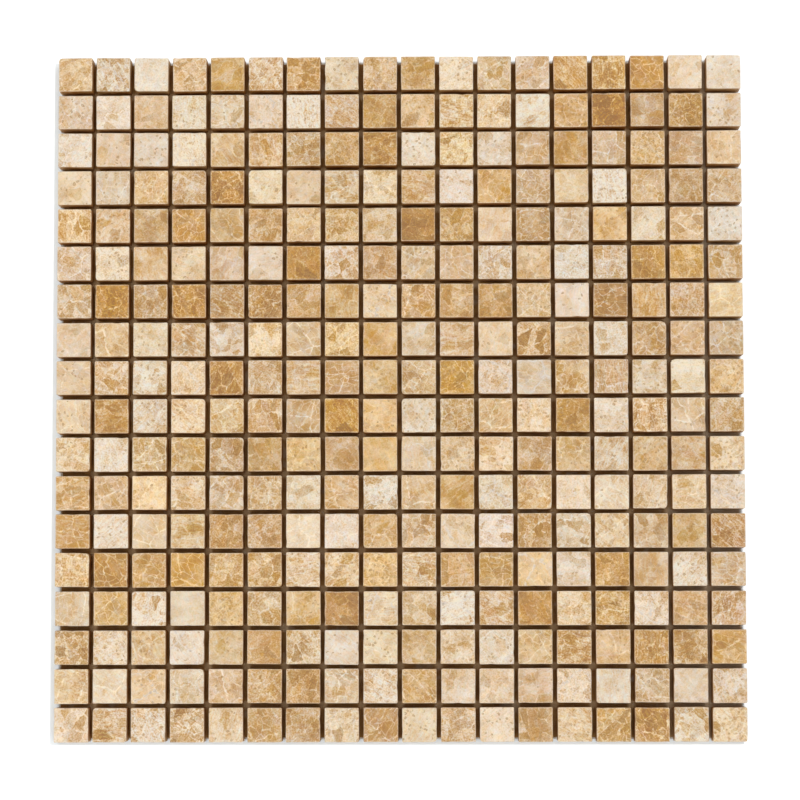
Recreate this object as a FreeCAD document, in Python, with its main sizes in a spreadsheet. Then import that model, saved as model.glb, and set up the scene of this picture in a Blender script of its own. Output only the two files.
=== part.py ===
import FreeCAD, Part
import Sketcher
import os

# Mosaic tile sheet: a square grid of small sawn stone tiles, polished side up,
# held together from behind by a glass-fibre net. The net is a laid scrim: one
# layer of flat yarns runs across the sheet, and a second layer runs along it and
# lies on the first. A thin film of adhesive covers the net and bonds the tiles to
# it, and it is the floor of the open joints.
#
# Frame: X across the sheet, Y along it, Z up. The origin is the centre of the
# sheet's underside, on the face of the net that goes into the adhesive bed.
# All lengths are in millimetres.

# Driving dimensions: alias, value, and what it measures
DIMENSIONS = (
    ("tile_side", 15.0, "side of one square tile"),
    ("tile_thick", 9.5, "thickness of the stone"),
    ("arris", 0.3, "eased edge round the polished face"),
    ("joint_width", 1.94, "open joint between two tiles"),
    ("column_count", 18, "tiles in one row, along X"),
    ("row_count", 18, "rows of tiles, along Y"),
    ("net_inset", 1.0, "how far the net stays inside the sheet's outline"),
    ("yarn_spacing", 5.0, "nominal spacing of the yarns, centre to centre"),
    ("yarn_width", 0.9, "width of one flat yarn"),
    ("yarn_thick", 0.2, "thickness of one flat yarn"),
    ("film_inset", 1.5, "how far the adhesive film stays inside the sheet's outline"),
    ("film_thick", 0.1, "thickness of the adhesive film between the net and the tiles"),
)

# Sizes that follow from the driving dimensions, as spreadsheet expressions
TILE_PITCH = "(dims.tile_side + dims.joint_width)"
SHEET_WIDTH = f"(dims.column_count * {TILE_PITCH} - dims.joint_width)"
SHEET_LENGTH = f"(dims.row_count * {TILE_PITCH} - dims.joint_width)"
NET_WIDTH = f"({SHEET_WIDTH} - 2 * dims.net_inset)"
NET_LENGTH = f"({SHEET_LENGTH} - 2 * dims.net_inset)"
FILM_WIDTH = f"({SHEET_WIDTH} - 2 * dims.film_inset)"
FILM_LENGTH = f"({SHEET_LENGTH} - 2 * dims.film_inset)"

# The heights at which the film and the tiles lie
NET_TOP = "(2 * dims.yarn_thick)"
FILM_TOP = f"({NET_TOP} + dims.film_thick)"

# The outermost yarns lie along the net's edges, and the others are spread evenly
# between them, as near to the nominal spacing as a whole number of gaps allows
YARN_SPAN_ACROSS = f"({NET_WIDTH} - dims.yarn_width)"
YARN_SPAN_ALONG = f"({NET_LENGTH} - dims.yarn_width)"
YARN_GAPS_ACROSS = f"round({YARN_SPAN_ACROSS} / dims.yarn_spacing)"
YARN_GAPS_ALONG = f"round({YARN_SPAN_ALONG} / dims.yarn_spacing)"

# Where a sketch's rectangle is drawn before its constraints size and place it
DRAFT_LEFT, DRAFT_BOTTOM, DRAFT_SIDE = -20.0, -20.0, 10.0

PARTS_FOLDER = "parts"
# How closely a row's volume matches its sizes, as a share, and an edge its height
VOLUME_TOLERANCE = 0.0001
HEIGHT_TOLERANCE = 0.001


def make_dimension_sheet(doc):
    """The spreadsheet that every size is read from."""
    sheet = doc.addObject("Spreadsheet::Sheet", "dims")
    for line, (alias, value, meaning) in enumerate(DIMENSIONS, start=1):
        sheet.set(f"A{line}", meaning)
        sheet.set(f"B{line}", str(value))
        sheet.setAlias(f"B{line}", alias)
    doc.recompute()
    return sheet


def origin_feature(body, role):
    """One of the body's own origin planes or axes, found by its role."""
    return next(item for item in body.Origin.OriginFeatures if item.Role == role)


def make_rectangle_sketch(body, name, width, length, left, bottom):
    """A rectangle on the body's XY plane: its width along X, its length along Y,
    and how far its left and bottom sides lie from the origin, on the minus side."""
    sketch = body.newObject("Sketcher::SketchObject", name)
    sketch.AttachmentSupport = [(origin_feature(body, "XY_Plane"), "")]
    sketch.MapMode = "FlatFace"

    right, top = DRAFT_LEFT + DRAFT_SIDE, DRAFT_BOTTOM + DRAFT_SIDE
    corners = [
        FreeCAD.Vector(DRAFT_LEFT, DRAFT_BOTTOM),
        FreeCAD.Vector(right, DRAFT_BOTTOM),
        FreeCAD.Vector(right, top),
        FreeCAD.Vector(DRAFT_LEFT, top),
    ]
    for start, end in zip(corners, corners[1:] + corners[:1]):
        sketch.addGeometry(Part.LineSegment(start, end), False)
    bottom_line, right_line, top_line, left_line = range(4)
    line_start, line_end = 1, 2
    origin_point = (-1, 1)
    lines = (bottom_line, right_line, top_line, left_line)
    for line, following in zip(lines, lines[1:] + lines[:1]):
        sketch.addConstraint(Sketcher.Constraint("Coincident", line, line_end, following, line_start))
    for line in (bottom_line, top_line):
        sketch.addConstraint(Sketcher.Constraint("Horizontal", line))
    for line in (right_line, left_line):
        sketch.addConstraint(Sketcher.Constraint("Vertical", line))

    named_sizes = (
        ("width", width, "DistanceX", (bottom_line, line_start, bottom_line, line_end)),
        ("length", length, "DistanceY", (right_line, line_start, right_line, line_end)),
        ("left", left, "DistanceX", (bottom_line, line_start) + origin_point),
        ("bottom", bottom, "DistanceY", (bottom_line, line_start) + origin_point),
    )
    for size_name, expression, kind, ends in named_sizes:
        index = sketch.addConstraint(Sketcher.Constraint(kind, *ends, DRAFT_SIDE))
        sketch.renameConstraint(index, size_name)
        sketch.setExpression(f"Constraints.{size_name}", expression)
    return sketch


def make_pad(body, sketch, thickness):
    """The sketch's area, given a thickness upwards."""
    pad = body.newObject("PartDesign::Pad", "pad")
    pad.Profile = sketch
    pad.setExpression("Length", thickness)
    return pad


def repeat_along(body, axis_role, spacing, count):
    """Copies of the whole piece, side by side along one of the body's axes."""
    body.Document.recompute()
    pattern = body.newObject("PartDesign::LinearPattern", "row")
    pattern.TransformMode = "Whole shape"
    pattern.Direction = (origin_feature(body, axis_role), [""])
    pattern.Mode = "Spacing"
    pattern.setExpression("Offset", spacing)
    pattern.setExpression("Occurrences", count)
    body.Tip = pattern
    return pattern


def make_tile_row(doc, row):
    """One row of tiles, counted from the sheet's far edge. Each tile is a sawn
    square block with an eased arris round its polished face."""
    body = doc.addObject("PartDesign::Body", f"tile_row_{row:02d}")
    body.Label = f"tile_row_{row:02d}"
    sketch = make_rectangle_sketch(
        body,
        "tile_outline",
        width="dims.tile_side",
        length="dims.tile_side",
        left=f"{SHEET_WIDTH} / 2",
        bottom="dims.tile_side / 2",
    )
    pad = make_pad(body, sketch, "dims.tile_thick")
    doc.recompute()

    top_height = max(edge.CenterOfMass.z for edge in pad.Shape.Edges)
    top_edges = [
        f"Edge{number}"
        for number, edge in enumerate(pad.Shape.Edges, start=1)
        if abs(edge.BoundBox.ZMin - top_height) < HEIGHT_TOLERANCE
    ]
    eased = body.newObject("PartDesign::Chamfer", "eased_arris")
    eased.Base = (pad, top_edges)
    eased.setExpression("Size", "dims.arris")
    repeat_along(body, "X_Axis", TILE_PITCH, "dims.column_count")
    body.setExpression(
        "Placement.Base.y", f"({SHEET_LENGTH} - dims.tile_side) / 2 - {row - 1} * {TILE_PITCH}"
    )
    body.setExpression("Placement.Base.z", FILM_TOP)
    return body


def make_yarns_across(doc):
    """The net's lower layer: flat yarns along X, repeated along Y."""
    body = doc.addObject("PartDesign::Body", "net_yarns_across")
    body.Label = "net_yarns_across"
    sketch = make_rectangle_sketch(
        body,
        "yarn_outline",
        width=NET_WIDTH,
        length="dims.yarn_width",
        left=f"{NET_WIDTH} / 2",
        bottom=f"{NET_LENGTH} / 2",
    )
    make_pad(body, sketch, "dims.yarn_thick")
    repeat_along(body, "Y_Axis", f"{YARN_SPAN_ALONG} / {YARN_GAPS_ALONG}", f"{YARN_GAPS_ALONG} + 1")
    return body


def make_yarns_along(doc):
    """The net's upper layer: flat yarns along Y, repeated along X. They lie on the
    lower layer, and the adhesive film lies on them."""
    body = doc.addObject("PartDesign::Body", "net_yarns_along")
    body.Label = "net_yarns_along"
    sketch = make_rectangle_sketch(
        body,
        "yarn_outline",
        width="dims.yarn_width",
        length=NET_LENGTH,
        left=f"{NET_WIDTH} / 2",
        bottom=f"{NET_LENGTH} / 2",
    )
    make_pad(body, sketch, "dims.yarn_thick")
    repeat_along(body, "X_Axis", f"{YARN_SPAN_ACROSS} / {YARN_GAPS_ACROSS}", f"{YARN_GAPS_ACROSS} + 1")
    body.setExpression("Placement.Base.z", "dims.yarn_thick")
    return body


def make_adhesive_film(doc):
    """The thin film of adhesive on the net, which the tiles are pressed into."""
    body = doc.addObject("PartDesign::Body", "adhesive_film")
    body.Label = "adhesive_film"
    sketch = make_rectangle_sketch(
        body,
        "film_outline",
        width=FILM_WIDTH,
        length=FILM_LENGTH,
        left=f"{FILM_WIDTH} / 2",
        bottom=f"{FILM_LENGTH} / 2",
    )
    make_pad(body, sketch, "dims.film_thick")
    body.setExpression("Placement.Base.z", NET_TOP)
    return body


def check_document(doc, bodies):
    """Stops the build if an object failed or a body is not sound."""
    failed = [item.Label for item in doc.Objects if {"Invalid", "Error"} & set(item.State)]
    if failed:
        raise RuntimeError(f"these objects failed: {failed}")
    for body in bodies:
        if body.Shape.isNull() or not body.Shape.isValid() or not body.Shape.Solids:
            raise RuntimeError(f"{body.Label} has no sound solid")


def check_tile_volume(sheet, rows):
    """Compares each row's volume with what its sizes give."""
    side, thick, arris = sheet.tile_side, sheet.tile_thick, sheet.arris
    small_side = side - 2 * arris
    eased_slab = arris * (side**2 + side * small_side + small_side**2) / 3
    expected = sheet.column_count * (side**2 * (thick - arris) + eased_slab)
    for body in rows:
        if abs(body.Shape.Volume / expected - 1) > VOLUME_TOLERANCE:
            raise RuntimeError(f"{body.Label} holds {body.Shape.Volume}, and not {expected}")


def main():
    doc = FreeCAD.newDocument("mosaic_tile_sheet")
    sheet = make_dimension_sheet(doc)
    rows = [make_tile_row(doc, row) for row in range(1, sheet.row_count + 1)]
    backing = [make_yarns_across(doc), make_yarns_along(doc), make_adhesive_film(doc)]
    doc.recompute()
    check_document(doc, rows + backing)
    check_tile_volume(sheet, rows)

    os.makedirs(PARTS_FOLDER, exist_ok=True)
    for body in rows + backing:
        body.Shape.exportStep(os.path.join(PARTS_FOLDER, f"{body.Label}.step"))
        box = body.Shape.BoundBox
        print(
            f"{body.Label}: {len(body.Shape.Solids)} solids,"
            f" x {box.XMin:.3f} to {box.XMax:.3f}, y {box.YMin:.3f} to {box.YMax:.3f},"
            f" z {box.ZMin:.3f} to {box.ZMax:.3f}"
        )


main()
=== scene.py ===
import math

import bmesh
import bpy
from mathutils import Euler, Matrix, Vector


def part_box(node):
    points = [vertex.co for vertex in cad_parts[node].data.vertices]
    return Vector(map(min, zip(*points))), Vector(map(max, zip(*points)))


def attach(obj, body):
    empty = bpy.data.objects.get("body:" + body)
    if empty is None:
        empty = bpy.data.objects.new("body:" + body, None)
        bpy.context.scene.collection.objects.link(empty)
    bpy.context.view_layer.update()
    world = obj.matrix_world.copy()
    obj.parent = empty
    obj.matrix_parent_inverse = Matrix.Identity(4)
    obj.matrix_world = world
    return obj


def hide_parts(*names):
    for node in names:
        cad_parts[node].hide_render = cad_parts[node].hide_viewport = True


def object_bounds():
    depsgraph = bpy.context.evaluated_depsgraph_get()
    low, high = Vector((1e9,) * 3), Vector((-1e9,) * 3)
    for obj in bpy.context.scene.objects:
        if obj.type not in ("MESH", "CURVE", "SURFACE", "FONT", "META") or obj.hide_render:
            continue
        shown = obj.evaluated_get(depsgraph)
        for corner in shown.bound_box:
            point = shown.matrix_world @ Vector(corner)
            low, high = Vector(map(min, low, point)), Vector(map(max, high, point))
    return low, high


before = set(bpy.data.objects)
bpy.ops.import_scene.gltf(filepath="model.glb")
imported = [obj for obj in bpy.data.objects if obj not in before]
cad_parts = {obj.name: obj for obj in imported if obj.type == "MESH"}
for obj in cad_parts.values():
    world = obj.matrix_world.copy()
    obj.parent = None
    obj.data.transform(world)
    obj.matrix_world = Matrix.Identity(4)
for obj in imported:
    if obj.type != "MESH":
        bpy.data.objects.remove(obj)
cad_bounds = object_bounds()

# Mosaic tile sheet: rows of small polished marble tiles, and behind them a film of brown
# adhesive and a glass-fibre net. Lengths are in metres unless a comment says mm.
# X runs across the sheet, Y along it, Z up, and the floor is at zero.

MM = 0.001

# The sheet is square, with its middle at zero
SHEET_EDGE = cad_bounds[1][0]

# The tiles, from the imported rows
ROWS = sorted(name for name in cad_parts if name.startswith("tile_row"))
ROW_LOW, ROW_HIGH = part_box(ROWS[0])
TILE_SIDE = ROW_HIGH[1] - ROW_LOW[1]
TILE_THICK = ROW_HIGH[2] - ROW_LOW[2]
PITCH = (ROW_LOW[1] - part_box(ROWS[-1])[0][1]) / (len(ROWS) - 1)
TILES_IN_ROW = round((ROW_HIGH[0] - ROW_LOW[0] - TILE_SIDE) / PITCH) + 1
ARRIS = 0.3 * MM
ARRIS_BREAK = 0.3 * ARRIS
CORNER_RADIUS = 0.45 * MM
SIDE_POINTS = 5
CORNER_POINTS = 3

# How much the tiles differ: in place, turn and size, and in how their edges are worn
SHIFT = 0.12 * MM
TURN = math.radians(0.45)
SMALLEST, LARGEST = 0.994, 1.012
LEAST_WEAR, MOST_WEAR = 0.45 * MM, 1.7 * MM
WEAR_RARITY = 20
SIDE_PULL = 9.0
WAVER = 0.2 * MM
CHIP = 0.35 * MM
SEEDS_IN_ROW = 37

# The share of the tiles up to each tone, from pale cream, 0, to brown, 1
TONES = ((0.0, 0.0), (0.1, 0.18), (0.25, 0.32), (0.5, 0.55), (0.75, 0.73), (0.9, 0.92), (1.0, 1.32))

# How far a tile's seed, 0 to 1, moves it: in the block that it is cut from and in the
# noises of its wear and pores, in mm, and in the one that picks how worn a corner is
BLOCK_MM = 700.0
WEAR_MM = 300.0
CORNER_SEEDS = 91.0

# The length and breadth of the stone's clasts and of the meshes of its veins, in mm
BIG_CLASTS = (6.6, 4.2)
SMALL_CLASTS = (1.7, 2.9)
BRANCH_MESH = (4.7, 2.9)
HAIR_MESH = (1.7, 2.6)
SEAM_MESH = (13.0, 13.0)

# How many cells that may hold a speck come in one mm
SPECKS_IN_MM = 0.6

# Colours as the lit sheet shows them on a screen, 0 to 255. The stone's go from cream to
# the brownest, and each comes at a share of the brownest stone's brownness.
STONE_COLOURS = (
    (0.00, (243, 229, 208)),
    (0.14, (236, 216, 188)),
    (0.28, (228, 202, 166)),
    (0.39, (220, 188, 147)),
    (0.50, (210, 172, 119)),
    (0.60, (199, 155, 91)),
    (0.72, (187, 136, 57)),
    (1.00, (153, 100, 28)),
)
BROWNEST = 1.4
SPECK_OLIVE = (160, 119, 60)
PATCH_GREY = (222, 216, 208)
BAND_LILAC = (208, 198, 193)
CRACK_BROWN = (132, 96, 58)
BRUISED_CREAM = (240, 226, 204)

# Colours of the other finishes, on the same scale but as they are in themselves. The
# stone dust colour and the pale film colour also carry painted light in the joints
ADHESIVE_BROWN = (152, 103, 42)
FILM_DARK, FILM_LIGHT, FILM_PALE = (138, 92, 30), (162, 115, 47), (206, 192, 168)
DUST_AND_CROSSING_LIGHT = (208, 178, 136)
YARN_SHADED, YARN_WHITE, YARN_RESIN = (188, 180, 164), (224, 218, 204), (166, 132, 94)
FILAMENT_WHITE, FILAMENT_COATED = (240, 238, 232), (206, 190, 166)

# Linear colours: the tiles' sides' darker brown tint, partly adhesive stain and partly
# painted shade in the joints, and the floor
SIDE_STAIN_AND_SHADE_TINT = (0.82, 0.60, 0.31, 1.0)
FLOOR_WHITE = (0.80, 0.84, 0.86, 1.0)

# The net, whose sway varies this fast along and across a yarn, for each metre
YARN_SPACING = 5.0 * MM
YARN_WIDTH = 0.9 * MM
YARN_SIDES = 8
YARN_STEPS = 121
YARN_SWAY = 0.8 * MM
YARN_BOW = 0.05 * MM
SWAY_ALONG, SWAY_ACROSS = 60.0, 900.0

# The film's edge wavers in two waves: each has its speed, and its shift from side to side
FILM_EDGE_POINTS = 90
FILM_EDGE_WAVER = 0.4 * MM
FILM_EDGE_WAVES = ((41, 1.0), (97, 2.3))

# Loose filaments of the net that lie in the joints
FILAMENTS = 100
FILAMENT_RADIUS = 0.035 * MM
FILAMENT_SIDES = 4
FILAMENT_STEPS = 12
FILAMENT_CURL = 1.0 * MM
FILAMENT_SWEEP = math.radians(130)
FILAMENT_BACK = 0.8 * MM
FILAMENT_TILT = 0.25
SHORTEST_FILAMENT, LONGEST_FILAMENT = (0.6, 0.6, 0.6), (1.7, 1.1, 1.0)
FILAMENT_SCATTER = 0.9 * MM
FILAMENT_RISE = 0.6 * MM
FILAMENT_LIFT = 0.3 * MM

# The camera, from the lines of the tile grid in the photograph
CAMERA_PLACE = (0.0216, -0.09925, 1.25)
CAMERA_TURN_DEG = (4.495, 0.995, -0.103)
CAMERA_LENS_MM = 127.1
SENSOR_MM = 36.0

# The studio: each soft box has its azimuth, elevation, size and power in watts
ROOM_LIGHT = 0.27
BOX_DISTANCE = 1.6
SOFT_BOXES = (
    ("soft_box_overhead", 0, 90, 1.4, 7.0),
    ("soft_box_right_back", 55, 54, 0.7, 5.3),
    ("soft_box_left_back", 125, 54, 0.7, 5.2),
    ("soft_box_left_front", 232, 58, 0.7, 7.9),
    ("soft_box_right_front", 305, 58, 0.7, 5.4),
)
# How bright a white surface that faces up comes out
STUDIO_GAIN = 1.25

# The floor: the strength of its painted glow, and the painted shadow beside the sheet where
# the glow is left out: how far the shadow is moved and widened, and where it fades
FLOOR_REACH = 3.0
FLOOR_DROP = 0.02 * MM
FLOOR_GLOW = 0.45
SHADE_LEFT, SHADE_FRONT = 1.8 * MM, 1.0 * MM
SHADE_WIDER = 0.8 * MM
SHADE_FADE = (0.2 * MM, 1.0 * MM)


class Wire:
    """An output socket. Sums written with it add the Math nodes that work them out."""

    def __init__(self, wiring, socket):
        self.wiring = wiring
        self.socket = socket

    def math(self, operation, *others):
        return self.wiring.math(operation, self, *others)

    def __add__(self, other):
        return self.math("ADD", other)

    def __sub__(self, other):
        return self.math("SUBTRACT", other)

    def __rsub__(self, other):
        return self.wiring.math("SUBTRACT", other, self)

    def __mul__(self, other):
        return self.math("MULTIPLY", other)

    def __truediv__(self, other):
        return self.math("DIVIDE", other)

    def __pow__(self, other):
        return self.math("POWER", other)

    __radd__ = __add__
    __rmul__ = __mul__


class Wiring:
    """A node tree, shader or geometry, while it is being wired up."""

    def __init__(self, tree):
        self.tree = tree

    def node(self, kind, settings=(), inputs=(), output=0):
        """Any node: its type, its settings, and the values or links of its sockets."""
        made = self.tree.nodes.new(kind)
        for name, value in dict(settings).items():
            if name == "stops":
                self.set_stops(made.color_ramp, value)
            else:
                setattr(made, name, value)
        for key, value in dict(inputs).items():
            if isinstance(value, Wire):
                self.tree.links.new(value.socket, made.inputs[key])
            else:
                made.inputs[key].default_value = value
        return Wire(self, made.outputs[output]) if len(made.outputs) else made

    def set_stops(self, ramp, stops):
        while len(ramp.elements) < len(stops):
            ramp.elements.new(1.0)
        for element, (position, colour) in zip(ramp.elements, stops):
            element.position = position
            element.color = colour

    def output_of(self, wire, name):
        """Another output of the node that a wire comes from."""
        return Wire(self, wire.socket.node.outputs[name])

    def math(self, operation, *values):
        return self.node("ShaderNodeMath", {"operation": operation}, enumerate(values))

    def vector(self, operation, *values):
        return self.node("ShaderNodeVectorMath", {"operation": operation}, enumerate(values))

    def scaled(self, vector, factor):
        settings = {"operation": "SCALE"}
        return self.node("ShaderNodeVectorMath", settings, {0: vector, "Scale": factor})

    def combined(self, x, y, z):
        return self.node("ShaderNodeCombineXYZ", {}, {0: x, 1: y, 2: z})

    def separated(self, vector):
        first = self.node("ShaderNodeSeparateXYZ", {}, {0: vector})
        return first, self.output_of(first, "Y"), self.output_of(first, "Z")

    def smooth(self, value, low, high):
        """0 at low, 1 at high, with a soft start and end. It falls if low is over high."""
        settings = {"interpolation_type": "SMOOTHSTEP"}
        return self.node("ShaderNodeMapRange", settings, {0: value, 1: low, 2: high})

    def ramp(self, value, stops):
        """The colour at this value, between colours that come at given values."""
        return self.node("ShaderNodeValToRGB", {"stops": tuple(stops)}, {0: value})

    def mixed(self, factor, first, second, blend="MIX"):
        """Two colours mixed."""
        settings = {"data_type": "RGBA", "blend_type": blend}
        return self.node("ShaderNodeMix", settings, {0: factor, 6: first, 7: second}, 2)

    def noise(self, vector, scale, detail=2.0, roughness=0.5, dimensions="2D", output=0):
        settings = {"noise_dimensions": dimensions}
        values = {"Vector": vector, "Scale": scale, "Detail": detail, "Roughness": roughness}
        return self.node("ShaderNodeTexNoise", settings, values, output)

    def push(self, vector, scale, reach, detail=2.0):
        """The vector, pushed about by a noise of this scale, as far as half the reach."""
        way = self.vector("SUBTRACT", self.noise(vector, scale, detail, output=1), (0.5, 0.5, 0.5))
        return self.vector("ADD", vector, self.scaled(way, reach))

    def sheet_place(self):
        """A point's place on the sheet."""
        return self.node("ShaderNodeTexCoord", output="Object")

    def tile_attribute(self, name):
        """A vector that each tile carries."""
        settings = {"attribute_type": "GEOMETRY", "attribute_name": name}
        return self.node("ShaderNodeAttribute", settings, output="Vector")

    def bump(self, height, strength, distance):
        values = {"Strength": strength, "Distance": distance, "Height": height}
        return self.node("ShaderNodeBump", {}, values)

    def surface(self, colour, roughness, others=()):
        """The shader that the material shows."""
        values = {"Base Color": colour, "Roughness": roughness, **dict(others)}
        shader = self.node("ShaderNodeBsdfPrincipled", {}, values)
        self.node("ShaderNodeOutputMaterial", {}, {"Surface": shader})

    def random(self, low, high, seed):
        """A random vector for each point, or a random number if low and high are numbers."""
        kind, first, output = ("FLOAT_VECTOR", 0, 0) if isinstance(low, tuple) else ("FLOAT", 2, 1)
        values = {first: low, first + 1: high, "Seed": seed}
        return self.node("FunctionNodeRandomValue", {"data_type": kind}, values, output)

    def rotation(self, x, y, z):
        return self.node("FunctionNodeEulerToRotation", {}, {0: self.combined(x, y, z)})

    def line_of_points(self, count, start=(0.0, 0.0, 0.0), step=(0.0, 0.0, 1.0)):
        values = {"Count": count, "Start Location": start, "Offset": step}
        return self.node("GeometryNodeMeshLine", {"mode": "OFFSET"}, values)

    def copies(self, points, shape, others=()):
        """A copy of the shape on each point."""
        values = {"Points": points, "Instance": shape, **dict(others)}
        return self.node("GeometryNodeInstanceOnPoints", {}, values)

    def real(self, geometry):
        """The copies as geometry of their own."""
        return self.node("GeometryNodeRealizeInstances", {}, {"Geometry": geometry})

    def moved(self, geometry, how):
        """The points moved by an Offset, or set to a Position."""
        return self.node("GeometryNodeSetPosition", {}, {"Geometry": geometry, **how})

    def transformed(self, geometry, how):
        return self.node("GeometryNodeTransform", {}, {"Geometry": geometry, **how})

    def circle(self, sides, radius):
        values = {"Resolution": sides, "Radius": radius}
        return self.node("GeometryNodeCurvePrimitiveCircle", {"mode": "RADIUS"}, values)

    def tubes(self, curves, profile):
        """A closed tube along each curve."""
        values = {"Curve": curves, "Profile Curve": profile, "Fill Caps": True}
        return self.node("GeometryNodeCurveToMesh", {}, values)


def srgb(red, green, blue):
    """A colour read off a screen, 0 to 255, as the linear one that a shader takes."""
    def linear(level):
        share = level / 255
        return share / 12.92 if share <= 0.04045 else ((share + 0.055) / 1.055) ** 2.4

    return (linear(red), linear(green), linear(blue), 1.0)


def lit(red, green, blue):
    """The stone's own colour where the lit sheet shows this one: a white floor comes
    out brighter than white."""
    return tuple(level / STUDIO_GAIN for level in srgb(red, green, blue)[:3]) + (1.0,)


def new_material(name):
    """An empty material, and its tree for wiring."""
    material = bpy.data.materials.new(name)
    material.use_nodes = True
    material.node_tree.nodes.clear()
    return material, Wiring(material.node_tree)


class Marble:
    """The stone of a tile while its material is wired up: the numbers that the tile
    carries, and the noises and clasts that its markings share. Lengths are in mm."""

    def __init__(self, w):
        self.w = w
        self.place = w.tile_attribute("tile_place")
        self.x, self.y, height = w.separated(self.place)
        self.depth = 0.0 - height
        self.from_x = self.x.math("ABSOLUTE")
        self.from_y = self.y.math("ABSOLUTE")
        self.seed = w.tile_attribute("stone_seed")
        self.turn, self.marked, self.rosy = w.separated(self.seed)
        self.tone, self.warmth, self.veining = w.separated(w.tile_attribute("stone_mood"))
        habit = w.tile_attribute("stone_habit")
        self.speckled, self.streaked, self.broken = w.separated(habit)

        self.stone = self.spot_in_block()
        self.bent = w.push(self.stone, 0.22, 2.2)
        self.ruffled = w.push(self.bent, 1.1, 0.4)
        self.mottle = w.noise(self.ruffled, 0.55, 4.0, 0.62)
        self.grain = w.noise(self.stone, 1.4, 3.0, 0.55)
        self.width = w.noise(self.bent, 0.4, 1.0)
        self.cloud = w.noise(self.stone, 0.12, 2.0)
        drawn_out = w.vector("MULTIPLY", self.bent, (0.18, 1.25, 0.0))
        self.streaks = w.noise(drawn_out, 1.0, 2.0, 0.6)
        self.seam_out = self.edges(self.bent, SEAM_MESH)
        self.sawn = w.smooth(self.depth, 0.2, 0.5)
        self.set_clasts()

    def spot_in_block(self):
        """Where a point of the tile lies in the block. The pattern is a flat one, folded
        down over the edges onto the sawn sides, and each tile is turned its own way."""
        w = self.w
        on_x_side = self.from_x.math("GREATER_THAN", self.from_y)
        folded_x = self.x + self.x.math("SIGN") * self.depth * on_x_side
        folded_y = self.y + self.y.math("SIGN") * self.depth * (1 - on_x_side)
        turned = w.node(
            "ShaderNodeVectorRotate",
            {"rotation_type": "Z_AXIS"},
            {"Vector": w.combined(folded_x, folded_y, 0.0), "Angle": self.turn * math.tau},
        )
        return w.vector("ADD", turned, w.scaled(self.seed, BLOCK_MM))

    def cells(self, feature, vector, size, output=0):
        """Angular cells of about this length and breadth."""
        length, breadth = size
        squeezed = self.w.vector("MULTIPLY", vector, (1 / length, 1 / breadth, 0.0))
        settings = {"voronoi_dimensions": "2D", "feature": feature}
        values = {"Vector": squeezed, "Scale": 1.0}
        return self.w.node("ShaderNodeTexVoronoi", settings, values, output)

    def edges(self, vector, size):
        """The distance from the edges of such cells."""
        length, breadth = size
        return self.cells("DISTANCE_TO_EDGE", vector, size) * (length * breadth) ** 0.5

    def shards(self, size):
        """Clasts: three random values for each, and the distance to its edge."""
        w = self.w
        colour = self.cells("F1", self.ruffled, size, "Color")
        value = w.node("ShaderNodeSeparateColor", {}, {0: colour})
        shade, hue = w.output_of(value, "Green"), w.output_of(value, "Blue")
        return value, shade, hue, self.edges(self.ruffled, size)

    def set_clasts(self):
        """How much of the tile its clasts take up, and how sharply each ends at a vein."""
        w = self.w
        big_value, self.big_shade, self.big_hue, big_edge = self.shards(BIG_CLASTS)
        small_value, self.small_shade, self.small_hue, small_edge = self.shards(SMALL_CLASTS)
        cover = 0.06 + 0.84 * self.tone
        vein = 0.05 + (0.25 + 0.45 * self.veining) * w.smooth(self.width, 0.42, 0.68)
        soft = 0.12 + 0.55 * (1 - self.broken)
        big_inside = w.smooth((big_edge - vein) / soft, -0.2, 1.0)
        small_inside = w.smooth((small_edge - vein * 0.4) / soft, -0.3, 0.6)
        self.big = w.smooth(big_value + cover, 0.8, 1.2) * big_inside
        self.small = w.smooth(small_value + cover, 0.8, 1.2) * small_inside
        clast = self.big.math("MAXIMUM", self.small * 0.75) * (0.6 + 0.4 * self.broken)
        self.clast = clast + cover * 0.3 * (1 - self.broken)

    def brownness(self):
        """How brown the stone is, from 0, cream, up, and the tile's middle brownness."""
        w = self.w
        sharp = w.smooth(self.broken, 0.55, 0.85)
        shade = (self.big_shade - 0.5) * 0.3 * self.big
        shade = shade + (self.small_shade - 0.5) * 0.2 * self.small * (1 - self.big)
        matrix = 0.21 + 0.42 * self.tone
        brown = matrix + (0.36 + 0.08 * sharp) * self.clast - 0.03 * sharp + shade
        brown = brown + (self.mottle - 0.5) * (0.1 + 0.26 * self.speckled + 0.12 * self.tone)
        brown = brown + (self.grain - 0.5) * (1.09 - 0.12 * self.tone)
        brown = brown + (self.streaks - 0.5) * 0.85 * w.smooth(self.streaked, 0.45, 0.9)

        # Some tiles are plain and others strongly marked
        middle = matrix + 0.17
        brown = middle + (brown - middle) * (0.46 + 0.98 * self.marked)
        brown = brown + (self.cloud - 0.5) * 0.75
        return self.less_veins(brown), middle

    def less_veins(self, brown):
        """Pale veins that branch and fade, finer ones in patches, and long ones across
        some tiles."""
        w = self.w
        branches = w.smooth(self.edges(self.bent, BRANCH_MESH), 0.32, 0.05)
        branches = branches * w.smooth(self.cloud, 0.4, 0.56)
        brown = brown - branches * w.smooth(self.veining, 0.1, 0.8) * (0.12 + 0.24 * self.tone)
        hair = w.smooth(self.edges(self.ruffled, HAIR_MESH), 0.26, 0.05)
        hair = hair * w.smooth(self.mottle, 0.58, 0.42)
        brown = brown - hair * (0.08 + 0.06 * self.tone)
        seam = w.smooth(self.seam_out + (self.grain - 0.5) * 0.4, 0.5, 0.08)
        seam = seam * w.smooth(self.veining, 0.3, 0.6)
        return brown - seam * w.smooth(self.width, 0.36, 0.52) * 0.4

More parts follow.
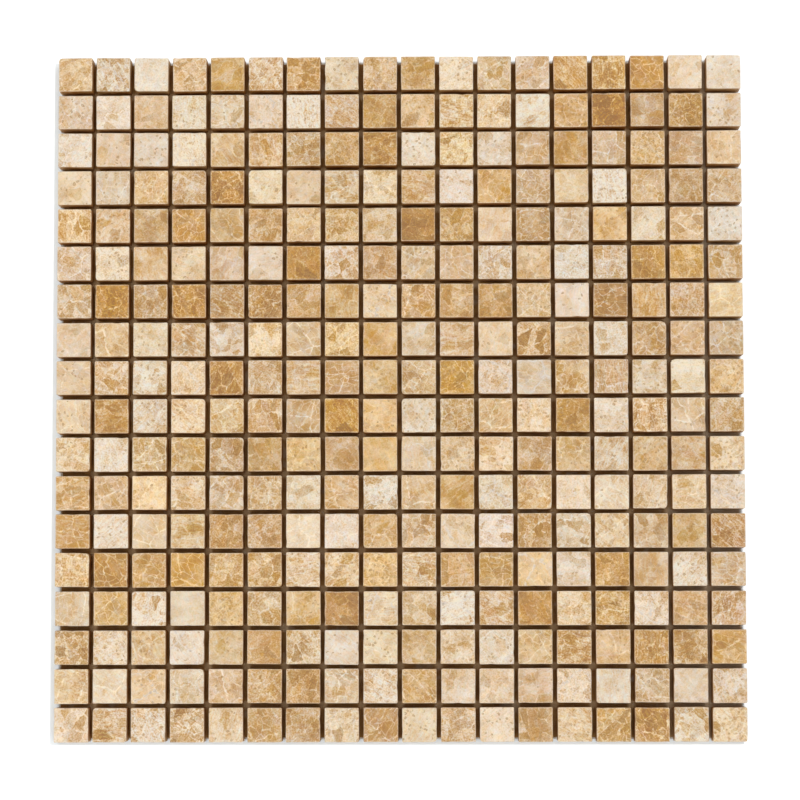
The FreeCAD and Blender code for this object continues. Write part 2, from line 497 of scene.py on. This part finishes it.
    def own_colour(self):
        """The stone's colour for its brownness, tinted warm or cool and more or less rosy:
        from tile to tile, from clast to clast, and along its streaks."""
        w = self.w
        brown, middle = self.brownness()
        stops = ((share, lit(*colour)) for share, colour in STONE_COLOURS)
        colour = w.ramp(brown / BROWNEST, stops)
        golden = 0.27 * w.smooth(self.warmth, 0.93, 1.0)
        warm = 0.4 + (self.warmth - 0.5) * (0.6 + 0.5 * self.tone) + golden
        warm = warm + (self.width - 0.5) * 1.2
        warm = warm + (self.mottle - 0.5) * (0.9 + 0.8 * self.tone)
        warm = warm - (brown - middle) * 0.35
        warm = warm + (self.big_hue - 0.5) * 0.9 * self.big + 0.08 * self.tone
        warm = warm + (self.small_hue - 0.5) * 0.7 * self.small * (1 - self.big)
        warmer = warm - 0.47
        rosier = (self.rosy - 0.5) * 0.05 + (self.streaks - 0.5) * 0.26
        rosier = rosier - (self.big_shade - 0.5) * 0.07 * self.big
        red = 1 + warmer * (0.125 - 0.06 * brown) + rosier
        blue = 1 - warmer * (0.3 + 0.42 * w.smooth(brown, 0.62, 1.0))
        return w.mixed(1.0, colour, w.combined(red, 1.0, blue), "MULTIPLY")

    def with_specks(self, colour):
        """Olive specks with paler middles, in patches and only on some tiles."""
        w = self.w
        settings = {"feature": "F1", "voronoi_dimensions": "2D"}
        values = {"Vector": self.bent, "Scale": SPECKS_IN_MM}
        speck = w.node("ShaderNodeTexVoronoi", settings, values)
        value = w.node("ShaderNodeSeparateColor", {}, {0: w.output_of(speck, "Color")})
        out = speck / SPECKS_IN_MM + (self.grain - 0.5) * 0.5
        ring = w.smooth(out, 0.62, 0.38) * (0.5 + 0.5 * w.smooth(out, 0.08, 0.32))
        chosen = w.smooth(value + self.speckled * 0.42, 1.0, 1.12)
        chosen = chosen * w.smooth(self.width, 0.36, 0.55)
        return w.mixed(ring * chosen * 0.75, colour, lit(*SPECK_OLIVE))

    def with_rare_marks(self, colour):
        """Grey patches, lilac grey bands and hairline cracks, each on a few tiles."""
        w = self.w
        grey = w.smooth(self.mottle, 0.53, 0.66) * w.smooth(self.veining, 0.72, 0.95)
        grey = grey * w.smooth(self.tone, 0.65, 0.4)
        colour = w.mixed(grey * 0.35, colour, lit(*PATCH_GREY))
        band = w.smooth(self.seam_out + (self.mottle - 0.5) * 2.5, 1.0, 0.1)
        band = band * w.smooth(self.width, 0.4, 0.6)
        band = band * w.smooth(self.veining, 0.84, 0.88) * w.smooth(self.tone, 0.6, 0.45)
        colour = w.mixed(band * 0.6, colour, lit(*BAND_LILAC))
        crack = w.smooth(self.seam_out, 0.16, 0.04) * w.smooth(self.width, 0.5, 0.62)
        crack = crack * w.smooth(self.speckled, 0.3, 0.6)
        return w.mixed(crack * 0.4, colour, lit(*CRACK_BROWN))

    def with_edges(self, colour):
        """The arris is bruised pale, and the sides are sawn, with adhesive at the foot. The
        sides take a darker brown tint, partly adhesive stain and partly painted shade, which
        is weaker on the sheet's outer sides than in the joints."""
        w = self.w
        inset = TILE_SIDE / MM / 2 - self.from_x.math("MAXIMUM", self.from_y)
        arris = w.smooth(inset + (self.grain - 0.5) * 0.6, 0.62, 0.2)
        arris = arris * w.smooth(self.depth, 0.5, 0.25)
        arris = arris * (0.2 + 0.25 * w.smooth(self.mottle, 0.4, 0.6))
        colour = w.mixed(arris, colour, lit(*BRUISED_CREAM))
        sheet_x, sheet_y, _ = w.separated(w.sheet_place())
        from_middle = sheet_x.math("ABSOLUTE").math("MAXIMUM", sheet_y.math("ABSOLUTE"))
        outer = w.smooth(from_middle, SHEET_EDGE - 0.9 * MM, SHEET_EDGE - 0.5 * MM)
        # The sides' darker tint: partly adhesive stain, partly painted shade in the joints, weaker on
        # the outer sides
        colour = w.mixed(self.sawn * (1 - 0.75 * outer), colour, SIDE_STAIN_AND_SHADE_TINT, "MULTIPLY")
        glued = w.smooth(self.depth + (self.mottle - 0.5) * 5.0, 7.0, 8.6)
        return w.mixed(glued * 0.8, colour, srgb(*ADHESIVE_BROWN))

    def roughness(self):
        """The face is polished, a little unevenly, and the sides are dull."""
        face = self.w.smooth(self.depth, 0.05, 0.005)
        polish = 0.26 + 0.14 * self.w.smooth(self.grain, 0.3, 0.7)
        return polish + (0.62 - polish) * (1 - face)

    def relief(self):
        """Faint pores on the face, deeper ones on the sides, and the saw's marks there."""
        w = self.w
        own_spot = w.vector("ADD", self.place, w.scaled(self.seed, WEAR_MM))
        pores = w.noise(own_spot, 1.4, 1.0, dimensions="3D")
        along_saw = w.combined((self.x + self.y) * 0.3, self.depth * 4.0, 0.0)
        saw_marks = w.noise(along_saw, 1.0, 0.0)
        return pores * (0.25 + 0.75 * self.sawn) + saw_marks * self.sawn


def marble_material():
    """Light brown brecciated marble: golden clasts that fade into a cream matrix, fine
    cream veins, soft streaks and small olive specks. Each tile is cut from its own spot
    in the block, and has its own share of each."""
    material, w = new_material("polished_brown_marble")
    marble = Marble(w)
    colour = marble.with_specks(marble.own_colour())
    colour = marble.with_edges(marble.with_rare_marks(colour))
    bump = w.bump(marble.relief(), 0.35, 0.06 * MM)
    w.surface(colour, marble.roughness(), {"IOR": 1.49, "Normal": bump})
    return material


def net_material(name, along):
    """Glass-fibre yarn in its resin: fine filaments along the yarn, whitish and satin."""
    material, w = new_material(name)
    place = w.scaled(w.sheet_place(), 1 / MM)
    fine, long = 9.0, 0.35
    stretch = (fine, long, fine) if along else (long, fine, fine)
    filaments = w.noise(w.vector("MULTIPLY", place, stretch), 1.0, 4.0, dimensions="3D")
    resin = w.noise(place, 0.35, 3.0)
    colour = w.mixed(w.smooth(filaments, 0.35, 0.65), srgb(*YARN_SHADED), srgb(*YARN_WHITE))
    colour = w.mixed(w.smooth(resin, 0.46, 0.66) * 0.7, colour, srgb(*YARN_RESIN))
    roughness = 0.55 - 0.25 * w.smooth(resin, 0.5, 0.68)
    w.surface(colour, roughness, {"Normal": w.bump(filaments, 0.6, 0.05 * MM)})
    return material


def adhesive_material():
    """Dried brown adhesive: smooth and uneven in tone, dusted with stone here and there, with
    painted light where the joints cross and towards the right.
    """
    material, w = new_material("dried_brown_adhesive")
    place = w.scaled(w.sheet_place(), 1 / MM)
    x, y, _ = w.separated(place)
    pools = w.noise(place, 0.12, 4.0, 0.6)
    dust = w.noise(place, 1.6, 3.0, 0.65)
    colour = w.mixed(w.smooth(pools, 0.3, 0.7), srgb(*FILM_DARK), srgb(*FILM_LIGHT))

    # Painted light where two joints cross, half a pitch from the middle of a tile, and stone
    # dust scattered here and there
    half_pitch = PITCH / MM / 2
    off_line = x.math("PINGPONG", half_pitch).math("MAXIMUM", y.math("PINGPONG", half_pitch))
    crossing_light_and_dust = w.smooth(off_line, 2.4, 0.7) * 0.6 + w.smooth(dust, 0.55, 0.8) * 0.3
    colour = w.mixed(crossing_light_and_dust, colour, srgb(*DUST_AND_CROSSING_LIGHT))

    # There are pale smears, and painted light makes the film paler towards the right
    smears = w.smooth(w.noise(place, 0.07, 3.0, 0.6), 0.6, 0.72) * 0.3
    pale = smears + w.smooth(x, 100.0, 150.0) * 0.5
    colour = w.mixed(pale, colour, srgb(*FILM_PALE))
    roughness = 0.42 + 0.3 * w.smooth(dust, 0.4, 0.7)
    bump = w.bump(pools * 2 + dust * 0.4, 0.5, 0.15 * MM)
    w.surface(colour, roughness, {"Specular IOR Level": 0.25, "Normal": bump})
    return material


def filament_material():
    """Single glass filaments: white, with a soft shine, and duller where resin coats them."""
    material, w = new_material("glass_filament")
    place = w.scaled(w.sheet_place(), 1 / MM)
    coated = w.smooth(w.noise(place, 0.8, 2.0), 0.4, 0.7)
    colour = w.mixed(coated, srgb(*FILAMENT_WHITE), srgb(*FILAMENT_COATED))
    w.surface(colour, 0.3 + 0.2 * coated)
    return material


def outline_points(half_side, radius):
    """The tile's outline seen from above: points on the sides, and on each rounded corner.
    Each comes with its corner's sign and its direction from the corner's centre."""
    points = []
    step_angle = math.pi / 2 / (CORNER_POINTS - 1)
    for quarter in range(4):
        turn = quarter * math.pi / 2
        ahead = Vector((math.cos(turn), math.sin(turn), 0))
        aside = Vector((-math.sin(turn), math.cos(turn), 0))
        for number in range(1, SIDE_POINTS + 1):
            share = number / (SIDE_POINTS + 1) * 2 - 1
            place = ahead * half_side + aside * share * (half_side - radius)
            points.append((place, Vector(), Vector()))
        for number in range(CORNER_POINTS):
            angle = number * step_angle
            direction = ahead * math.cos(angle) + aside * math.sin(angle)
            corner = ahead + aside
            points.append((corner * (half_side - radius) + direction * radius, corner, direction))
    return points


def tile_blank():
    """One tile, with the middle of its polished face at the origin: walls, an arris in two
    facets, and the faces. The points of its corners carry what wears each by itself."""
    half_side = TILE_SIDE / 2
    rings = ((0.0, -TILE_THICK), (0.0, -ARRIS), (ARRIS_BREAK, -ARRIS_BREAK), (ARRIS, 0.0))
    points = outline_points(half_side, CORNER_RADIUS)
    shaped = bmesh.new()
    corner_sign = shaped.verts.layers.float_vector.new("corner_sign")
    corner_way = shaped.verts.layers.float_vector.new("corner_way")
    loops = []
    for inset, height in rings:
        loop = []
        for place, sign, way in points:
            scale = (half_side - inset) / half_side
            vert = shaped.verts.new((place.x * scale, place.y * scale, height))
            vert[corner_sign] = sign
            vert[corner_way] = way
            loop.append(vert)
        loops.append(loop)
    return closed_mesh("tile_blank", shaped, loops)


def closed_mesh(name, shaped, loops):
    """Walls between loops of points, from the lowest to the highest, and both ends."""
    for lower, upper in zip(loops, loops[1:]):
        for index, vert in enumerate(lower):
            after = (index + 1) % len(lower)
            shaped.faces.new((vert, lower[after], upper[after], upper[index]))
    shaped.faces.new(reversed(loops[0]))
    shaped.faces.new(loops[-1])
    mesh = bpy.data.meshes.new(name)
    shaped.to_mesh(mesh)
    shaped.free()
    return mesh


def new_tree(name, inputs):
    """An empty geometry tree with these named inputs, and a function that gives each."""
    tree = bpy.data.node_groups.new(name, "GeometryNodeTree")
    tree.interface.new_socket("Geometry", in_out="INPUT", socket_type="NodeSocketGeometry")
    tree.interface.new_socket("Geometry", in_out="OUTPUT", socket_type="NodeSocketGeometry")
    for input_name, kind in inputs.items():
        tree.interface.new_socket(input_name, in_out="INPUT", socket_type=f"NodeSocket{kind}")
    w = Wiring(tree)
    given_inputs = w.node("NodeGroupInput")

    def given(input_name):
        return w.output_of(given_inputs, input_name)

    return w, given


def finished_tree(w, geometry, material):
    """The tree's last steps: one mesh of its own, in its material."""
    values = {"Geometry": w.real(geometry), "Material": material}
    w.node("NodeGroupOutput", {}, {0: w.node("GeometryNodeSetMaterial", {}, values)})
    return w.tree


def stored(w, geometry, name, value, domain="POINT"):
    """The geometry, which now carries this vector."""
    settings = {"data_type": "FLOAT_VECTOR", "domain": domain}
    values = {"Geometry": geometry, "Name": name, "Value": value}
    return w.node("GeometryNodeStoreNamedAttribute", settings, values)


def named(w, name):
    """A vector that the geometry carries."""
    settings = {"data_type": "FLOAT_VECTOR"}
    return w.node("GeometryNodeInputNamedAttribute", settings, {"Name": name})


def tile_row_tree():
    """Sets out one row of tiles from a blank, each with its own size, turn and wear, and
    gives each tile the numbers that its stone is drawn from."""
    inputs = {
        "Tiles": "Int",
        "Pitch": "Float",
        "Row": "Int",
        "Row place": "Float",
        "Limit": "Vector",
        "Stone": "Material",
    }
    w, given = new_tree("tile_row", inputs)

    def random(low, high, seed):
        """A random vector or number for each tile, from its row and a seed of its own."""
        return w.random(low, high, given("Row") * SEEDS_IN_ROW + seed)

    def random_shares(seed):
        return random((0.0, 0.0, 0.0), (1.0, 1.0, 1.0), seed)

    in_mm = w.scaled(w.node("GeometryNodeInputPosition"), 1 / MM)
    tile = stored(w, given("Geometry"), "tile_place", in_mm)

    _, _, top = w.separated(given("Limit"))
    first_x = (given("Tiles") - 1) * given("Pitch") * -0.5
    first_place = w.combined(first_x, given("Row place"), top)
    places = w.line_of_points(given("Tiles"), first_place, w.combined(given("Pitch"), 0.0, 0.0))
    shift = random((-SHIFT, -SHIFT, 0.0), (SHIFT, SHIFT, 0.0), 1)
    places = w.moved(places, {"Offset": shift})
    turn = w.rotation(0.0, 0.0, random(-TURN, TURN, 2))
    size = random((SMALLEST, SMALLEST, 1.0), (LARGEST, LARGEST, 1.0), 3)
    tiles = w.copies(places, tile, {"Rotation": turn, "Scale": size})

    tiles = stored(w, tiles, "stone_seed", random_shares(4), "INSTANCE")
    chance, warmth, veining = w.separated(random_shares(5))
    tone = w.ramp(chance, ((share, (tone, tone, tone, 1.0)) for share, tone in TONES))
    tiles = stored(w, tiles, "stone_mood", w.combined(tone, warmth, veining), "INSTANCE")
    tiles = stored(w, tiles, "stone_habit", random_shares(6), "INSTANCE")
    row = w.moved(w.real(tiles), {"Offset": tile_wear(w)})

    # Nothing stands past the sheet's own outline or above its face
    kept = w.vector("MINIMUM", w.node("GeometryNodeInputPosition"), given("Limit"))
    lowest = w.vector("MULTIPLY", given("Limit"), (-1.0, -1.0, 0.0))
    row = w.moved(row, {"Position": w.vector("MAXIMUM", kept, lowest)})
    return finished_tree(w, row, given("Stone"))


def tile_wear(w):
    """How far wear has moved each point of a tile. Heights and noises are in mm."""
    # Corners: each is worn to a radius of its own, mostly small
    seed = named(w, "stone_seed")
    sign = named(w, "corner_sign")
    own_corner = w.vector("ADD", w.scaled(seed, CORNER_SEEDS), sign)
    chance = w.node("ShaderNodeTexWhiteNoise", {}, {"Vector": own_corner})
    radius = (LEAST_WEAR + (MOST_WEAR - LEAST_WEAR) * chance ** WEAR_RARITY) - CORNER_RADIUS
    worn = w.scaled(w.vector("SUBTRACT", named(w, "corner_way"), sign), radius)

    # Edges: a slow waver down the whole side, and small chips along the arris. A high
    # power turns a point's way outwards to the side that it is nearest to.
    place = named(w, "tile_place")
    x, y, height = w.separated(place)
    outwards = w.vector("NORMALIZE", w.combined(x ** SIDE_PULL, y ** SIDE_PULL, 0.0))
    spot = w.vector("ADD", place, w.scaled(seed, WEAR_MM))
    flat_spot = w.vector("MULTIPLY", spot, (1.0, 1.0, 0.05))
    waver = w.noise(flat_spot, 0.16, dimensions="3D")
    bite = w.noise(spot, 0.45, dimensions="3D")
    chip = w.smooth(bite, 0.56, 0.76) * w.smooth(height, -0.4, -0.25) * CHIP
    inwards = w.scaled(outwards, (waver - 0.5) * WAVER - chip)
    sunk = w.combined(0.0, 0.0, chip * w.smooth(height, -0.01, -0.20) * -0.5)
    return w.vector("ADD", w.vector("ADD", worn, inwards), sunk)


def yarn_tree():
    """Lays out parallel flat yarns along X, each a little wavy. The start mesh is unused."""
    inputs = {
        "Yarns": "Int",
        "Length": "Float",
        "Spacing": "Float",
        "Width": "Float",
        "Thickness": "Float",
        "Middle height": "Float",
        "Sag": "Float",
        "Seed": "Float",
        "Turn": "Float",
        "Glass": "Material",
    }
    w, given = new_tree("net_yarns", inputs)
    half = given("Length") * 0.5
    ends = {"Start": w.combined(half * -1.0, 0.0, 0.0), "End": w.combined(half, 0.0, 0.0)}
    line = w.node("GeometryNodeCurvePrimitiveLine", {}, ends)
    line = w.node("GeometryNodeResampleCurve", {}, {"Curve": line, "Count": YARN_STEPS})
    outermost = (given("Yarns") - 1) * given("Spacing") * 0.5
    first_place = w.combined(0.0, outermost * -1.0, 0.0)
    places = w.line_of_points(given("Yarns"), first_place, w.combined(0.0, given("Spacing"), 0.0))
    lines = w.real(w.copies(places, line))

    # Flat on the other layer at each crossing, and bowed a little between two crossings.
    # The outermost yarns stay straight, and the others sway.
    x, y, _ = w.separated(w.node("GeometryNodeInputPosition"))
    wave = (x / given("Spacing") * math.tau).math("COSINE")
    bow = (1 - wave) * 0.5 * given("Sag")
    sway_place = w.combined(x * SWAY_ALONG, y * SWAY_ACROSS, given("Seed"))
    sway = w.noise(sway_place, 1.0, dimensions="3D")
    inside = w.smooth(y.math("ABSOLUTE"), outermost, outermost - given("Spacing"))
    offset = w.combined(0.0, (sway - 0.5) * YARN_SWAY * inside, given("Middle height") + bow)
    lines = w.moved(lines, {"Offset": offset})
    shape = w.combined(given("Width"), given("Thickness"), 1.0)
    profile = w.transformed(w.circle(YARN_SIDES, 0.5), {"Scale": shape})
    turn = w.rotation(0.0, 0.0, given("Turn"))
    yarns = w.transformed(w.tubes(lines, profile), {"Rotation": turn})
    return finished_tree(w, yarns, given("Glass"))


def filament_tree():
    """Short curled filaments that lie where two joints cross. The start mesh is unused."""
    inputs = {
        "Filaments": "Int",
        "Crossings": "Float",
        "Pitch": "Float",
        "Height": "Float",
        "Radius": "Float",
        "Glass": "Material",
    }
    w, given = new_tree("loose_filaments", inputs)

    # A crossing picked at random, counted from the middle one, and a spot beside it
    picked = w.scaled(w.random((-0.5, -0.5, 0.0), (0.5, 0.5, 0.0), 11), given("Crossings"))
    crossing = w.scaled(w.vector("FLOOR", w.vector("ADD", picked, (0.5, 0.5, 0.0))), given("Pitch"))
    furthest = (FILAMENT_SCATTER, FILAMENT_SCATTER, FILAMENT_RISE)
    aside = w.random((-FILAMENT_SCATTER, -FILAMENT_SCATTER, 0.0), furthest, 12)
    lifted = w.combined(0.0, 0.0, given("Height"))
    spot = w.vector("ADD", w.vector("ADD", crossing, aside), lifted)
    places = w.moved(w.line_of_points(given("Filaments")), {"Position": spot})

    # An arc that starts near its spot, tilted a little and turned any way
    sizes = {"Resolution": FILAMENT_STEPS, "Radius": FILAMENT_CURL, "Sweep Angle": FILAMENT_SWEEP}
    arc = w.node("GeometryNodeCurveArc", {"mode": "RADIUS"}, sizes)
    arc = w.transformed(arc, {"Translation": (-FILAMENT_BACK, 0.0, 0.0)})
    least_turn = (-FILAMENT_TILT, -FILAMENT_TILT, 0.0)
    tilt = w.random(least_turn, (FILAMENT_TILT, FILAMENT_TILT, math.tau), 13)
    turn = w.node("FunctionNodeEulerToRotation", {}, {0: tilt})
    size = w.random(SHORTEST_FILAMENT, LONGEST_FILAMENT, 14)
    arcs = w.real(w.copies(places, arc, {"Rotation": turn, "Scale": size}))
    threads = w.tubes(arcs, w.circle(FILAMENT_SIDES, given("Radius")))
    return finished_tree(w, threads, given("Glass"))


def made_by(tree, name, start_mesh, values):
    """Runs a geometry tree on a mesh and returns a plain object with what it makes."""
    draft = placed(f"{name}_draft", start_mesh)
    modifier = draft.modifiers.new("made", "NODES")
    modifier.node_group = tree
    for item in tree.interface.items_tree:
        if item.in_out == "INPUT" and item.name in values:
            modifier[item.identifier] = values[item.name]
    evaluated = draft.evaluated_get(bpy.context.evaluated_depsgraph_get())
    mesh = bpy.data.meshes.new_from_object(evaluated)
    mesh.name = name
    bpy.data.objects.remove(draft)
    return placed(name, mesh)


def placed(name, mesh):
    """An object with this mesh, in the scene."""
    piece = bpy.data.objects.new(name, mesh)
    bpy.context.scene.collection.objects.link(piece)
    return piece


def finish_piece(piece, slot, *nodes):
    """The piece rides on the sheet and stands for these nodes, whose parts are hidden. Its
    slot is not used.
    """
    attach(piece, "root")
    if nodes:
        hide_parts(*nodes)


def make_tile_rows(stone):
    blank = tile_blank()
    tree = tile_row_tree()
    for number, node in enumerate(ROWS, start=1):
        low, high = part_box(node)
        values = {
            "Tiles": TILES_IN_ROW,
            "Pitch": PITCH,
            "Row": number,
            "Row place": (low[1] + high[1]) / 2,
            "Limit": (high[0], high[0], high[2]),
            "Stone": stone,
        }
        piece = made_by(tree, node.replace("tile_row", "marble_row"), blank, values)
        finish_piece(piece, "marble", node)


def make_net():
    """Two layers of yarns. Each bows towards the other, so the lower up and the upper down."""
    tree = yarn_tree()
    start = bpy.data.meshes.new("yarn_start")
    layers = (("net_yarns_across", False, YARN_BOW, 0.0), ("net_yarns_along", True, -YARN_BOW, 50.0))
    for node, along, sag, seed in layers:
        low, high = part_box(node)
        width, depth = high[0] - low[0], high[1] - low[1]
        length, span = (depth, width - YARN_WIDTH) if along else (width, depth - YARN_WIDTH)
        gaps = round(span / YARN_SPACING)
        values = {
            "Yarns": gaps + 1,
            "Length": length,
            "Spacing": span / gaps,
            "Width": YARN_WIDTH,
            "Thickness": high[2] - low[2],
            "Middle height": (low[2] + high[2]) / 2,
            "Sag": sag,
            "Seed": seed,
            "Turn": math.pi / 2 if along else 0.0,
            "Glass": net_material(f"glass_{node}", along),
        }
        piece = made_by(tree, node.replace("net_yarns", "glass_yarns"), start, values)
        finish_piece(piece, "glass_fibre_net", node)


def film_edge(half):
    """The film's outline, whose sides waver inwards as the edge of spread adhesive does."""
    points = []
    for quarter in range(4):
        turn = quarter * math.pi / 2
        for number in range(FILM_EDGE_POINTS):
            share = number / FILM_EDGE_POINTS
            waves = (math.sin(share * speed + quarter * shift) for speed, shift in FILM_EDGE_WAVES)
            waver = (sum(waves) + 2) / 4
            x = half - FILM_EDGE_WAVER * waver
            y = (share * 2 - 1) * (half - FILM_EDGE_WAVER)
            across = x * math.cos(turn) - y * math.sin(turn)
            back = x * math.sin(turn) + y * math.cos(turn)
            points.append((across, back))
    return points


def make_adhesive():
    """The film that the tiles are stuck to. Returns the height of its upper face."""
    low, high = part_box("adhesive_film")
    edge = film_edge(high[0])
    shaped = bmesh.new()
    loops = [[shaped.verts.new((x, y, height)) for x, y in edge] for height in (low[2], high[2])]
    mesh = closed_mesh("brown_adhesive", shaped, loops)
    mesh.materials.append(adhesive_material())
    finish_piece(placed("brown_adhesive", mesh), "adhesive", "adhesive_film")
    return high[2]


def make_filaments(film_top):
    values = {
        "Filaments": FILAMENTS,
        "Crossings": float(TILES_IN_ROW - 1),
        "Pitch": PITCH,
        "Height": film_top + FILAMENT_LIFT,
        "Radius": FILAMENT_RADIUS,
        "Glass": filament_material(),
    }
    start = bpy.data.meshes.new("filament_start")
    piece = made_by(filament_tree(), "loose_filaments", start, values)
    finish_piece(piece, "glass_fibre_net")


def make_floor():
    """A plain pale studio floor with a painted glow, as a light table's, so that it comes out
    white: the glow is left out under the sheet and in a narrow painted shadow beside it, on
    the left and, narrower, in front."""
    material, w = new_material("studio_floor")
    x, y, _ = w.separated(w.sheet_place())
    # Painted light: the floor glows everywhere but under the sheet and in a painted shadow beside it
    out_x = (x + SHADE_LEFT).math("ABSOLUTE") - SHADE_WIDER
    out = out_x.math("MAXIMUM", (y + SHADE_FRONT).math("ABSOLUTE"))
    fade_from, fade_to = SHADE_FADE
    glow = w.smooth(out, SHEET_EDGE + fade_from, SHEET_EDGE + fade_to)
    emission = {"Emission Color": w.combined(glow, glow, glow), "Emission Strength": FLOOR_GLOW}
    w.surface(FLOOR_WHITE, 0.9, emission)
    material.cycles.emission_sampling = "NONE"
    mesh = bpy.data.meshes.new("studio_floor")
    signs = ((-1, -1), (1, -1), (1, 1), (-1, 1))
    corners = [(x_sign * FLOOR_REACH, y_sign * FLOOR_REACH, -FLOOR_DROP) for x_sign, y_sign in signs]
    mesh.from_pydata(corners, [], [(0, 1, 2, 3)])
    mesh.materials.append(material)
    placed("studio_floor", mesh)


def make_lights():
    """A wide soft box overhead, four at the diagonals, of which the one at the left front
    is the strongest, and a dim room."""
    world = bpy.data.worlds.new("studio")
    world.use_nodes = True
    background = world.node_tree.nodes["Background"]
    background.inputs["Color"].default_value = (1.0, 1.0, 1.0, 1.0)
    background.inputs["Strength"].default_value = ROOM_LIGHT
    bpy.context.scene.world = world
    for name, azimuth_deg, elevation_deg, size, power in SOFT_BOXES:
        light = bpy.data.lights.new(name, "AREA")
        light.shape = "SQUARE"
        light.size = size
        light.energy = power
        azimuth, elevation = math.radians(azimuth_deg), math.radians(elevation_deg)
        level = math.cos(elevation)
        direction = Vector((math.cos(azimuth) * level, math.sin(azimuth) * level, math.sin(elevation)))
        lamp = placed(name, light)
        lamp.location = direction * BOX_DISTANCE
        lamp.rotation_euler = direction.to_track_quat("Z", "Y").to_euler()


def make_camera():
    camera = bpy.data.cameras.new("camera")
    camera.sensor_width = SENSOR_MM
    camera.lens = CAMERA_LENS_MM
    camera.clip_start = 0.01
    holder = placed("camera", camera)
    holder.location = CAMERA_PLACE
    holder.rotation_euler = Euler([math.radians(angle) for angle in CAMERA_TURN_DEG])
    bpy.context.scene.camera = holder


bpy.context.scene.view_settings.view_transform = "Standard"
make_camera()
make_lights()
make_floor()
make_tile_rows(marble_material())
make_net()
make_filaments(make_adhesive())
